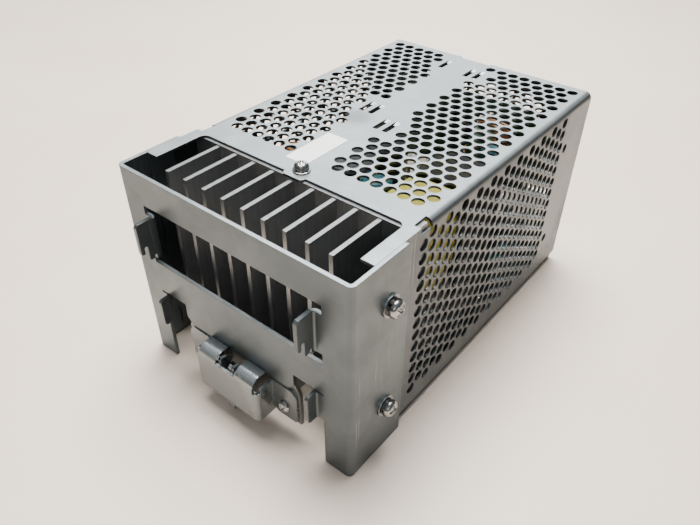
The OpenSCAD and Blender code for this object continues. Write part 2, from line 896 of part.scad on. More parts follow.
module fuse_caps() {
    color("silver") for (x = [fuse_x0, fuse_x1 - fuse_cap_len]) union() {
        difference() {
            rod_x(x, x + fuse_cap_len, fuse_depth, fuse_z, fuse_cap_r);
            rod_x(fuse_x0 + 1, fuse_x1 - 1, fuse_depth, fuse_z, fuse_bore_r);
        }
        slab(x + 1, x + fuse_cap_len - 1, fuse_depth - 1, fuse_depth + 1, board_top, fuse_z - fuse_bore_r - 0.2);
    }
}

module bridge_rectifier() {
    package_high = 34;
    color("black") slab(-3, 17, 58, 64, board_top, package_high);
}

transistor_xs = [-33, -11, 11, 33];
clamp_z = 62;
pad_t = 0.3;
package_t = 5;

module thermal_pads() {
    color("lightgray") for (x = transistor_xs)
        slab(x - 9, x + 9, sink_back, sink_back + pad_t, 36, 58);
}

module power_transistors() {
    color("black") for (x = transistor_xs)
        slab(x - 8, x + 8, sink_back + pad_t, sink_back + package_t, 37, 57);
}

module clamp_bar() {
    bar_t = 2;
    bar_half = 42;
    bar_low = 44;
    bar_high = 68;
    color("silver") difference() {
        union() {
            slab(-bar_half, bar_half, sink_back + package_t, sink_back + package_t + bar_t, bar_low, bar_high);
            slab(-bar_half, bar_half, sink_back, sink_back + package_t + eps, bar_high - bar_t, bar_high);
        }
        for (x = transistor_xs) rod_y(x, clamp_z, sink_back, sink_back + package_t + bar_t + 1, m3_clear_r);
    }
}

module clamp_screws() {
    color("gainsboro") for (x = transistor_xs)
        translate([x, rear_y - sink_back - package_t - 2, clamp_z]) rotate([90, 0, 0])
            pan_screw(m3_shank_r, 11, m3_head_r, m3_head_h);
}

// ---- Front ----

trimmer_x = 34;
trimmer_z = 48;
lamp_x = 44;
spacer_xs = [-30, 26];
spacer_z = 50;
control_depth = 160;

module control_board() {
    color("darkolivegreen") difference() {
        slab(-38, 48, control_depth, control_depth + board_t, 42, 84);
        for (x = spacer_xs) rod_y(x, spacer_z, control_depth - 1, control_depth + board_t + 1, m3_clear_r);
    }
}

module control_board_spacers() {
    color("silver") for (x = spacer_xs) difference() {
        rod_y(x, spacer_z, control_depth + board_t, panel_back, 2.8);
        rod_y(x, spacer_z, control_depth, panel_back + 1, 1.3);
    }
}

module control_chips() {
    color("black") for (p = [[-24, 70], [-6, 66], [10, 72], [30, 70]])
        slab(p[0] - 5, p[0] + 5, control_depth - 3, control_depth, p[1] - 3, p[1] + 3);
}

// Puts its children on the panel's inner face, +Z pointing out of the front.
module on_panel(x, z) {
    translate([x, rear_y - panel_back, z]) rotate([90, 0, 0]) children();
}

// Flush screws that hold the control board's spacers.
module panel_screws() {
    color("gainsboro") for (x = spacer_xs) on_panel(x, spacer_z) difference() {
        union() {
            cylinder(h = panel_t, r1 = 1.25, r2 = 2.65);
            translate([0, 0, -7]) cylinder(h = 7 + eps, r = 1.25);
        }
        for (a = [0, 90]) rotate([0, 0, a]) translate([-1.6, -0.35, panel_t - 0.7]) cube([3.2, 0.7, 2]);
    }
}

// Two insulated wires from the control board down to the main board.
module signal_wires() {
    wire_r = 0.8;
    bend_r = 3;
    wire_z = 78;
    wire_depth = 151;
    color("white") for (x = [-15.4, -13]) union() {
        rod_z(x, wire_depth, board_top, wire_z - bend_r, wire_r);
        rod_y(x, wire_z, wire_depth + bend_r, control_depth, wire_r);
        translate([x, rear_y - wire_depth - bend_r, wire_z - bend_r]) rotate([90, 0, 90])
            rotate_extrude(angle = 90) translate([bend_r, 0]) circle(wire_r);
    }
}

trimmer_face = 170;

module trimmer_body() {
    color("royalblue") difference() {
        slab(trimmer_x - 4.8, trimmer_x + 4.8, control_depth + board_t, trimmer_face, trimmer_z - 4.8, trimmer_z + 4.8);
        rod_y(trimmer_x, trimmer_z, trimmer_face - 5, trimmer_face + 1, 1.3 + running_gap);
    }
}

module trimmer_rotor() {
    slot = 0.7;
    color("white") difference() {
        union() {
            rod_y(trimmer_x, trimmer_z, trimmer_face + small, unit_d - 1.4, 2.5);
            rod_y(trimmer_x, trimmer_z, trimmer_face - 4.5, trimmer_face + small + eps, 1.3);
        }
        slab(trimmer_x - 3, trimmer_x + 3, unit_d - 2.6, unit_d, trimmer_z - slot / 2, trimmer_z + slot / 2);
    }
}

module status_lamp() {
    color("lime") union() {
        rod_y(lamp_x, trimmer_z, control_depth + board_t, unit_d - 2, 2);
        translate([lamp_x, rear_y - unit_d + 2, trimmer_z]) intersection() {
            sphere(2);
            translate([-3, -3, -3]) cube([6, 3, 6]);
        }
    }
}

// Terminal blocks: barriers between poles, each with a screw on a square plate.
pole_pitch = 9.5;
pole_depth = 160.5;
pole_screw_r = 1.5;
plate_t = 0.9;
block_start = 152;
block_end = 168;
block_high = 24;
deck_z = 18;
input_poles = 3;
output_poles = 6;
input_x0 = 15;
output_x0 = -50;

function pole_x(x0, i) = x0 + 1.5 + pole_pitch * (i + 0.5);
all_pole_xs = [for (i = [0:input_poles - 1]) pole_x(input_x0, i), for (i = [0:output_poles - 1]) pole_x(output_x0, i)];

module barrier_block(x0, poles) {
    wall = 1.5;
    union() {
        slab(x0, x0 + poles * pole_pitch + 2 * wall, block_start, block_end, board_top, deck_z);
        slab(x0, x0 + poles * pole_pitch + 2 * wall, block_start, block_start + 3, deck_z - eps, block_high);
        for (i = [0:poles]) translate([i * pole_pitch, 0, 0])
            slab(x0 + wall / 2, x0 + 1.5 * wall, block_start, block_end, deck_z - eps, block_high + 3);
    }
}

module with_screw_holes() {
    difference() {
        children();
        for (x = all_pole_xs) rod_z(x, pole_depth, deck_z - 6, deck_z + 12, pole_screw_r);
    }
}

module input_terminal_block() {
    color("black") with_screw_holes() barrier_block(input_x0, input_poles);
}

module output_terminal_block() {
    color("black") with_screw_holes() barrier_block(output_x0, output_poles);
}

module terminal_plates() {
    color("silver") with_screw_holes() for (x = all_pole_xs) slab(x - 3.6, x + 3.6, 156, 165.5, deck_z, deck_z + plate_t);
}

module terminal_screws() {
    color("gainsboro") for (x = all_pole_xs)
        translate([x, rear_y - pole_depth, deck_z + plate_t]) pan_screw(pole_screw_r, 6, 3.1, 2.2);
}

// A clear flap that swings up from the terminals on two side pins.
module terminal_cover() {
    flap_half = 51.5;
    flap_t = 1.5;
    color("lightcyan") union() {
        slab(-flap_half, flap_half, hinge_depth + 1, hinge_depth + 1 + flap_t, 12, hinge_z + 1);
        both_sides() {
            slab(flap_half - 2.5, flap_half, hinge_depth - 2, hinge_depth + 1 + eps, hinge_z - 2, hinge_z + 1);
            rod_x(flap_half - 2, inner_half - 0.3, hinge_depth, hinge_z, hinge_pin_r);
        }
    }
}

rear_bracket();
housing_cover();
base_tray();
front_panel();
heat_sink();
cover_screw();
bracket_screws();
bracket_spring_washers();
bracket_flat_washers();
clinch_nuts();
latch_housing();
latch_backing_plate();
latch_screws();
latch_slide();
latch_spring();
blank_label();
main_board();
board_standoffs();
board_screws();
insulating_sheet();
transformer_core();
transformer_bobbin();
transformer_winding();
boost_choke_core();
boost_choke_winding();
line_choke_core();
line_choke_winding();
output_choke_core();
output_choke_winding();
choke_holders();
bulk_capacitors();
output_capacitors();
film_capacitors();
disc_capacitors();
fuse_body();
fuse_caps();
bridge_rectifier();
power_transistors();
thermal_pads();
clamp_bar();
clamp_screws();
control_board();
control_board_spacers();
control_chips();
signal_wires();
input_terminal_block();
output_terminal_block();
terminal_screws();
terminal_plates();
terminal_cover();
panel_screws();
trimmer_body();
trimmer_rotor();
status_lamp();
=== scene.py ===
import json
import math

import bmesh
import bpy
import numpy as np
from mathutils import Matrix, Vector


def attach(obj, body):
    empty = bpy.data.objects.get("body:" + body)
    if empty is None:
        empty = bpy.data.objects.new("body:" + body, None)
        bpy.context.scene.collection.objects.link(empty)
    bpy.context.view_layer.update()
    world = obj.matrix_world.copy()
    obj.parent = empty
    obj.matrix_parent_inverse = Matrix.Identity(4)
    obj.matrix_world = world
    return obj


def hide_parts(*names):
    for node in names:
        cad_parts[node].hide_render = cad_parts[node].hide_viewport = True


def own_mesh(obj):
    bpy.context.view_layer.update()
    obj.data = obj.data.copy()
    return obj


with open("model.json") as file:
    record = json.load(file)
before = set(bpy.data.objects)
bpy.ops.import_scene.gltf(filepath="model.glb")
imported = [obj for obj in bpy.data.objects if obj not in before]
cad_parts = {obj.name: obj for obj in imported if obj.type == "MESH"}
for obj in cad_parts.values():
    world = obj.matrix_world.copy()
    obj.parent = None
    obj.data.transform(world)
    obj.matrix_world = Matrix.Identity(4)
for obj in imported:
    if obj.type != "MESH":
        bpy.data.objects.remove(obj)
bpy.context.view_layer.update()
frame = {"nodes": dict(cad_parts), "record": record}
print("frame loaded,", len(frame["nodes"]), "nodes")

rearY = 0.0839  # the mount plate's outer face; depth is counted from it towards -Y
mm = 0.001


def at(x, depth, z):  # millimetres and depth to a place in metres
    return np.array([x * mm, rearY - depth * mm, z * mm])


# ---- shapes ----


def gridFaces(rows, cols, closeRows=False, closeCols=False):
    # quads between neighbouring points of a grid, wrapped where a direction is closed
    i, j = np.meshgrid(np.arange(rows if closeRows else rows - 1),
                       np.arange(cols if closeCols else cols - 1), indexing="ij")
    i, j = i.ravel(), j.ravel()
    iNext, jNext = (i + 1) % rows, (j + 1) % cols
    return np.stack([i * cols + j, i * cols + jNext, iNext * cols + jNext, iNext * cols + j], 1)


def makePiece(name, parts, material, body, smooth=True):
    # joins (points, faces) pairs into one closed mesh with its faces pointing outwards
    points, faces, start = [], [], 0
    for partPoints, partFaces in parts:
        points.append(partPoints)
        faces += [[start + int(k) for k in face] for face in partFaces]
        start += len(partPoints)
    mesh = bpy.data.meshes.new(name)
    mesh.from_pydata(np.concatenate(points).tolist(), [], faces)
    work = bmesh.new()
    work.from_mesh(mesh)
    bmesh.ops.remove_doubles(work, verts=work.verts, dist=1e-6)
    bmesh.ops.dissolve_degenerate(work, edges=work.edges, dist=1e-7)
    bmesh.ops.recalc_face_normals(work, faces=work.faces)
    work.to_mesh(mesh)
    work.free()
    mesh.polygons.foreach_set("use_smooth", np.full(len(mesh.polygons), smooth))
    mesh.materials.append(material)
    piece = bpy.data.objects.new(name, mesh)
    bpy.context.scene.collection.objects.link(piece)
    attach(piece, body)
    return piece


def unit(v):
    return v / np.maximum(np.linalg.norm(v, axis=-1, keepdims=True), 1e-12)


def tube(path, side, radius, sides=10, closed=False):
    # centre + radius * (cos a * side + sin a * up), with up across both the path and side
    tangent = unit(np.roll(path, -1, 0) - np.roll(path, 1, 0)) if closed else unit(np.gradient(path, axis=0))
    up = unit(np.cross(tangent, side))
    side = unit(np.cross(up, tangent))
    a = np.linspace(0, 2 * math.pi, sides, endpoint=False)
    ring = side[:, None] * np.cos(a)[None, :, None] + up[:, None] * np.sin(a)[None, :, None]
    points = (path[:, None] + radius * ring).reshape(-1, 3)
    faces = gridFaces(len(path), sides, closeRows=closed, closeCols=True).tolist()
    if not closed:
        faces += [list(range(sides))[::-1], list(range((len(path) - 1) * sides, len(path) * sides))]
    return points, faces


def turned(profile, segments, origin, axis, across):
    # (radius, height) pairs turned round an axis: origin + r * (cos a, sin a) + height * axis
    axis, across = unit(np.array(axis, float)), unit(np.array(across, float))
    third = np.cross(axis, across)
    a = np.linspace(0, 2 * math.pi, segments, endpoint=False)
    circle = across * np.cos(a)[:, None] + third * np.sin(a)[:, None]
    profile = np.array(profile, float)
    points = origin + profile[:, 0, None, None] * circle + profile[:, 1, None, None] * axis
    return points.reshape(-1, 3), gridFaces(len(profile), segments, closeCols=True)


# ---- node building ----


def feed(tree, socket, value):  # links another node's output, or sets a plain value
    if isinstance(value, bpy.types.NodeSocket):
        tree.links.new(value, socket)
    else:
        socket.default_value = value


def addNode(tree, kind, settings=None, **inputs):
    # inputs go by name, or by number as i0, i1
    made = tree.nodes.new(kind)
    for key, value in (settings or {}).items():
        setattr(made, key, value)
    for key, value in inputs.items():
        byNumber = key[0] == "i" and key[1:].isdigit()
        feed(tree, made.inputs[int(key[1:]) if byNumber else key.replace("_", " ")], value)
    return made


def mathNode(tree, operation, a, b=0.0, clamp=False):
    settings = {"operation": operation, "use_clamp": clamp}
    return addNode(tree, "ShaderNodeMath", settings, i0=a, i1=b).outputs[0]


def product(tree, a, b):
    return mathNode(tree, "MULTIPLY", a, b)


def noiseOf(tree, place, scale, **more):
    return addNode(tree, "ShaderNodeTexNoise", Vector=place, Scale=scale, **more).outputs["Fac"]


def partsOf(tree, vector):  # the X, Y and Z of a vector
    return addNode(tree, "ShaderNodeSeparateXYZ", Vector=vector).outputs


def upwardOf(tree):  # 1 on a face that looks straight up
    return partsOf(tree, addNode(tree, "ShaderNodeNewGeometry").outputs["Normal"])[2]


def distanceFrom(tree, place, centre):
    settings = {"operation": "DISTANCE"}
    return addNode(tree, "ShaderNodeVectorMath", settings, i0=place, i1=centre).outputs["Value"]


def rangeOf(tree, value, low, high, outLow=0.0, outHigh=1.0):
    return addNode(tree, "ShaderNodeMapRange", {"interpolation_type": "SMOOTHSTEP"}, Value=value,
                   From_Min=low, From_Max=high, To_Min=outLow, To_Max=outHigh).outputs["Result"]


def mixColour(tree, factor, a, b):
    mixer = tree.nodes.new("ShaderNodeMix")
    mixer.data_type = "RGBA"
    for socket, value in ((mixer.inputs[0], factor), (mixer.inputs[6], a), (mixer.inputs[7], b)):
        feed(tree, socket, value)
    return mixer.outputs[2]


def newGroup(name, inputs, outputs):
    group = bpy.data.node_groups.new(name, "ShaderNodeTree")
    for label, kind, value in inputs:
        socket = group.interface.new_socket(name=label, in_out="INPUT", socket_type=kind)
        if value is not None:
            socket.default_value = value
    for label, kind in outputs:
        group.interface.new_socket(name=label, in_out="OUTPUT", socket_type=kind)
    return group, group.nodes.new("NodeGroupInput"), group.nodes.new("NodeGroupOutput")


def useGroup(tree, group, **inputs):
    placed = addNode(tree, "ShaderNodeGroup", {"node_tree": group})
    for key, value in inputs.items():
        feed(tree, placed.inputs[key.replace("_", " ")], value)
    return placed.outputs


def grey(value):
    return (value, value, value, 1)


def shade(colour, amount):
    return [c * amount for c in colour[:3]] + [1]


# ---- shared effects ----

floatSocket, vectorSocket = "NodeSocketFloat", "NodeSocketVector"

# rolled sheet: soft crystal patches, cloudy tone and fine lines along the rolling direction
rolledZinc, groupIn, groupOut = newGroup(
    "rolledZinc",
    [("Place", vectorSocket, None), ("Patch Scale", floatSocket, 260.0), ("Line Scale", floatSocket, 900.0),
     ("Cloud Scale", floatSocket, 22.0)],
    [("Tone", floatSocket), ("Cloud", floatSocket), ("Height", floatSocket)])
patches = addNode(rolledZinc, "ShaderNodeTexVoronoi", Vector=groupIn.outputs["Place"],
                  Scale=groupIn.outputs["Patch Scale"], Randomness=1.0)
patchTone = addNode(rolledZinc, "ShaderNodeSeparateColor", Color=patches.outputs["Color"]).outputs[0]
stretched = addNode(rolledZinc, "ShaderNodeMapping", Vector=groupIn.outputs["Place"], Scale=(1.0, 0.05, 1.0))
lines = noiseOf(rolledZinc, stretched.outputs[0], groupIn.outputs["Line Scale"], Detail=3.0, Roughness=0.6)
cloud = noiseOf(rolledZinc, groupIn.outputs["Place"], groupIn.outputs["Cloud Scale"],
                Detail=5.0, Roughness=0.6)
speck = noiseOf(rolledZinc, groupIn.outputs["Place"], 2600.0, Detail=2.0)
tone = mathNode(rolledZinc, "ADD", product(rolledZinc, patchTone, 0.35),
                product(rolledZinc, lines, 0.65))
height = mathNode(rolledZinc, "ADD", product(rolledZinc, lines, 0.6),
                  product(rolledZinc, speck, 0.4))
rolledZinc.links.new(tone, groupOut.inputs["Tone"])
rolledZinc.links.new(cloud, groupOut.inputs["Cloud"])
rolledZinc.links.new(height, groupOut.inputs["Height"])

# handling marks: sparse long scratches and finger smudges
handled, groupIn, groupOut = newGroup(
    "handled", [("Place", vectorSocket, None), ("Amount", floatSocket, 0.5)],
    [("Scratch", floatSocket), ("Smudge", floatSocket)])
scratchSum = None
for turn, seed in ((0.4, 0.0), (1.9, 3.0), (2.7, 7.0)):
    turnedPlace = addNode(handled, "ShaderNodeMapping", Vector=groupIn.outputs["Place"],
                          Location=(seed, seed, 0), Rotation=(turn, 0.3 * seed, turn),
                          Scale=(6.0, 420.0, 6.0))
    streak = noiseOf(handled, turnedPlace.outputs[0], 3.0, Detail=2.0)
    thin = rangeOf(handled, streak, 0.72, 0.78)
    scratchSum = thin if scratchSum is None else mathNode(handled, "MAXIMUM", scratchSum, thin)
smudge = noiseOf(handled, groupIn.outputs["Place"], 45.0, Detail=4.0, Distortion=0.6)
handled.links.new(product(handled, scratchSum, groupIn.outputs["Amount"]), groupOut.inputs["Scratch"])
handled.links.new(product(handled, rangeOf(handled, smudge, 0.52, 0.72), groupIn.outputs["Amount"]),
                  groupOut.inputs["Smudge"])

# dust: settles on faces that look up, in soft blotches
dusty, groupIn, groupOut = newGroup(
    "dusty", [("Place", vectorSocket, None), ("Amount", floatSocket, 0.3)], [("Mask", floatSocket)])
blotch = noiseOf(dusty, groupIn.outputs["Place"], 130.0, Detail=6.0, Roughness=0.7)
settled = product(dusty, rangeOf(dusty, upwardOf(dusty), 0.3, 0.95), rangeOf(dusty, blotch, 0.35, 0.7))
dusty.links.new(product(dusty, settled, groupIn.outputs["Amount"]), groupOut.inputs["Mask"])


# ---- materials ----


def startMaterial(name):
    material = bpy.data.materials.new(name)
    material.use_nodes = True
    tree = material.node_tree
    tree.nodes.clear()
    shader = tree.nodes.new("ShaderNodeBsdfPrincipled")
    tree.links.new(shader.outputs[0], tree.nodes.new("ShaderNodeOutputMaterial").inputs["Surface"])
    place = tree.nodes.new("ShaderNodeTexCoord").outputs["Object"]
    return material, tree, shader, place


def joinBump(tree, shader, height, strength, distance, edge=0.0):
    bump = addNode(tree, "ShaderNodeBump", Strength=strength, Distance=distance, Height=height)
    if edge:  # rounds the light over sharp sheet edges
        rounded = addNode(tree, "ShaderNodeBevel", {"samples": 4}, Radius=edge)
        tree.links.new(rounded.outputs[0], bump.inputs["Normal"])
    tree.links.new(bump.outputs[0], shader.inputs["Normal"])


scratchSilver = (0.8, 0.81, 0.81, 1)
wireBright = (0.9, 0.9, 0.9, 1)
sheetDust = (0.5, 0.47, 0.42, 1)
plasticDust = (0.42, 0.4, 0.36, 1)
# painted highlight colour laid on faces that look up
paintedTopLightColour = (0.62, 0.68, 0.70, 1)
rubGrey = (0.12, 0.12, 0.115, 1)
# painted shade colour laid on faces inside the housing
paintedInsideShade = (0.06, 0.062, 0.065, 1)
hazeWhite = (0.8, 0.82, 0.82, 1)


# plated steel sheet; "light" and "dark" are the ends of its tone
def sheetMetal(name, light, dark, rough=0.42, metal=0.8, marks=0.5, dust=0.12, grain=0.35,
               weldMarks=(), paintedShadeBox=None, bump=0.25, topLightPaint=0.0, topLightLevel=0.0925, smear=None):
    material, tree, shader, place = startMaterial(name)
    sheet = useGroup(tree, rolledZinc, Place=place)
    marksOut = useGroup(tree, handled, Place=place, Amount=marks)
    dustMask = useGroup(tree, dusty, Place=place, Amount=dust)["Mask"]
    factor = mathNode(tree, "ADD", product(tree, sheet["Tone"], grain),
                      product(tree, rangeOf(tree, sheet["Cloud"], 0.3, 0.7), 1 - grain))
    colour = mixColour(tree, factor, dark, light)
    colour = mixColour(tree, product(tree, marksOut["Smudge"], 0.3), colour, shade(dark, 0.62))
    colour = mixColour(tree, product(tree, marksOut["Scratch"], 0.5), colour, scratchSilver)
    colour = mixColour(tree, dustMask, colour, sheetDust)
    if topLightPaint:  # painted light: faces that look up, above the given level, are made paler, as if lit from overhead
        aboveLevel = rangeOf(tree, partsOf(tree, place)[2], topLightLevel, topLightLevel + mm)
        paintedLightMask = product(tree, rangeOf(tree, upwardOf(tree), 0.2, 0.9), aboveLevel)
        colour = mixColour(tree, product(tree, paintedLightMask, topLightPaint), colour, paintedTopLightColour)
    if smear:  # a soft grey rub mark, broken up by noise
        away = distanceFrom(tree, place, smear["centre"])
        rubbed = product(tree, rangeOf(tree, away, smear["radius"], smear["radius"] * 0.25),
                          rangeOf(tree, sheet["Cloud"], 0.2, 0.6, 0.5, 1.0))
        colour = mixColour(tree, product(tree, rubbed, smear["amount"]), colour, rubGrey)
    if paintedShadeBox:  # painted shade: faces turned into the housing are darkened towards a dull dark tone, as little light reaches them
        offset = addNode(tree, "ShaderNodeVectorMath", {"operation": "SUBTRACT"}, i0=place,
                         i1=paintedShadeBox["centre"]).outputs[0]
        away = addNode(tree, "ShaderNodeVectorMath", {"operation": "ABSOLUTE"}, i0=offset).outputs[0]
        apart = partsOf(tree, away)
        inShade = None
        for axis, limit in enumerate(paintedShadeBox["half"]):
            under = mathNode(tree, "LESS_THAN", apart[axis], limit)
            inShade = under if inShade is None else product(tree, inShade, under)
        colour = mixColour(tree, product(tree, inShade, 0.85), colour, paintedInsideShade)
    height = sheet["Height"]
    for centre, radius in weldMarks:  # a shallow ring where two sheets are spot-welded
        away = distanceFrom(tree, place, centre)
        ring = mathNode(tree, "SUBTRACT", rangeOf(tree, away, radius * 0.55, radius * 0.8),
                        rangeOf(tree, away, radius * 0.85, radius))
        colour = mixColour(tree, product(tree, ring, 0.6), colour, shade(dark, 0.45))
        height = mathNode(tree, "SUBTRACT", height, product(tree, ring, 3.0))
    tree.links.new(colour, shader.inputs["Base Color"])
    roughness = mathNode(tree, "ADD", rangeOf(tree, factor, 0.2, 0.8, rough + 0.07, rough - 0.07),
                         product(tree, dustMask, 0.4), clamp=True)
    tree.links.new(roughness, shader.inputs["Roughness"])
    shader.inputs["Metallic"].default_value = metal
    joinBump(tree, shader, height, bump, 0.00006, edge=0.0004)
    return material


# bright plated parts, turned or stamped, with faint scratches
def brightMetal(name, colour, rough=0.22, metal=1.0, marks=0.4):
    material, tree, shader, place = startMaterial(name)
    fine = noiseOf(tree, place, 1500.0, Detail=3.0)
    broad = noiseOf(tree, place, 240.0, Detail=4.0)
    marksOut = useGroup(tree, handled, Place=place, Amount=marks)
    darker = shade(colour, 0.72)
    tinted = mixColour(tree, rangeOf(tree, broad, 0.35, 0.7), darker, colour)
    tinted = mixColour(tree, product(tree, marksOut["Scratch"], 0.5), tinted, wireBright)
    tree.links.new(tinted, shader.inputs["Base Color"])
    tree.links.new(rangeOf(tree, broad, 0.3, 0.75, rough + 0.12, rough - 0.05), shader.inputs["Roughness"])
    shader.inputs["Metallic"].default_value = metal
    joinBump(tree, shader, fine, 0.2, 0.00004)
    return material


# moulded plastic, film, epoxy and sleeves
def plastic(name, colour, rough=0.45, grain=900.0, bump=0.3, variation=0.15, dust=0.15, coat=0.0):
    material, tree, shader, place = startMaterial(name)
    fine = noiseOf(tree, place, grain, Detail=4.0)
    broad = noiseOf(tree, place, grain * 0.08, Detail=3.0)
    dustMask = useGroup(tree, dusty, Place=place, Amount=dust)["Mask"]
    lighter = [min(1, c * (1 + variation) + 0.01) for c in colour[:3]] + [1]
    darker = shade(colour, 1 - variation)
    tinted = mixColour(tree, rangeOf(tree, broad, 0.35, 0.65), darker, lighter)
    tinted = mixColour(tree, dustMask, tinted, plasticDust)
    tree.links.new(tinted, shader.inputs["Base Color"])
    tree.links.new(mathNode(tree, "ADD", rangeOf(tree, fine, 0.3, 0.7, rough - 0.06, rough + 0.06),
                            product(tree, dustMask, 0.4), clamp=True), shader.inputs["Roughness"])
    shader.inputs["Coat Weight"].default_value = coat
    joinBump(tree, shader, fine, bump, 0.00005)
    return material


# the heat sink: drawn faces with fine lines, dull inside, bright where it was sawn
def finMetal(name, face, cut, top, front, edge):
    material, tree, shader, place = startMaterial(name)
    split = partsOf(tree, place)
    drawn = addNode(tree, "ShaderNodeMapping", Vector=place, Scale=(700.0, 700.0, 6.0))
    lines = noiseOf(tree, drawn.outputs[0], 1.0, Detail=4.0)
    saw = addNode(tree, "ShaderNodeMapping", Vector=place, Scale=(30.0, 2400.0, 1.0))
    sawLines = noiseOf(tree, saw.outputs[0], 1.0, Detail=3.0)
    onTop = mathNode(tree, "GREATER_THAN", split[2], top)
    onFront = mathNode(tree, "GREATER_THAN", split[1], front)
    cutMask = mathNode(tree, "MAXIMUM", onTop, product(tree, onFront, edge))
    colour = mixColour(tree, rangeOf(tree, lines, 0.2, 0.8), shade(face, 0.85), face)
    cutColour = mixColour(tree, rangeOf(tree, sawLines, 0.3, 0.7), shade(cut, 0.8), cut)
    tree.links.new(mixColour(tree, cutMask, colour, cutColour), shader.inputs["Base Color"])
    tree.links.new(rangeOf(tree, lines, 0.3, 0.7, 0.5, 0.36), shader.inputs["Roughness"])
    shader.inputs["Metallic"].default_value = 0.85
    joinBump(tree, shader, mixColour(tree, onTop, lines, sawLines), 0.2, 0.00006, edge=0.0003)
    return material


# wound polyester tape: thin overlapping layers seen as bands
def tapeWrap(name, colour):
    material, tree, shader, place = startMaterial(name)
    bands = addNode(tree, "ShaderNodeTexWave", {"bands_direction": "Z"}, Vector=place, Scale=420.0,
                    Distortion=1.5, Detail=2.0, Detail_Scale=2.0).outputs["Fac"]
    cloud = noiseOf(tree, place, 160.0, Detail=4.0)
    tinted = mixColour(tree, rangeOf(tree, cloud, 0.3, 0.7), shade(colour, 0.7), colour)
    tinted = mixColour(tree, product(tree, bands, 0.25), tinted, shade(colour, 0.5))
    tree.links.new(tinted, shader.inputs["Base Color"])
    tree.links.new(rangeOf(tree, cloud, 0.3, 0.7, 0.38, 0.26), shader.inputs["Roughness"])
    joinBump(tree, shader, bands, 0.4, 0.0001)
    return material


# green circuit laminate with faint tracks under the mask
def laminate(name, mask, track):
    material, tree, shader, place = startMaterial(name)
    cells = addNode(tree, "ShaderNodeTexBrick", {"offset": 0.5}, Vector=place, Scale=160.0, Mortar_Size=0.03,
                    Color1=grey(0.0), Color2=grey(0.25), Mortar=grey(1.0)).outputs["Fac"]
    cloud = noiseOf(tree, place, 90.0, Detail=3.0)
    tinted = mixColour(tree, product(tree, cells, 0.5), mask, track)
    tinted = mixColour(tree, rangeOf(tree, cloud, 0.4, 0.7, 0.0, 0.4), tinted, shade(mask, 0.6))
    tree.links.new(tinted, shader.inputs["Base Color"])
    tree.links.new(rangeOf(tree, cloud, 0.3, 0.7, 0.35, 0.25), shader.inputs["Roughness"])
    joinBump(tree, shader, cells, 0.3, 0.00005)
    return material


# clear moulded plastic
def clearPlastic(name, colour, rough=0.06):
    material, tree, shader, place = startMaterial(name)
    wave = noiseOf(tree, place, 60.0, Detail=2.0)
    haze = noiseOf(tree, place, 400.0, Detail=5.0)
    tree.links.new(mixColour(tree, rangeOf(tree, haze, 0.4, 0.8, 0.0, 0.4), colour, hazeWhite),
                   shader.inputs["Base Color"])
    tree.links.new(rangeOf(tree, haze, 0.3, 0.8, rough, rough + 0.12), shader.inputs["Roughness"])
    shader.inputs["Transmission Weight"].default_value = 1.0
    shader.inputs["IOR"].default_value = 1.5
    joinBump(tree, shader, wave, 0.1, 0.0002)
    return material
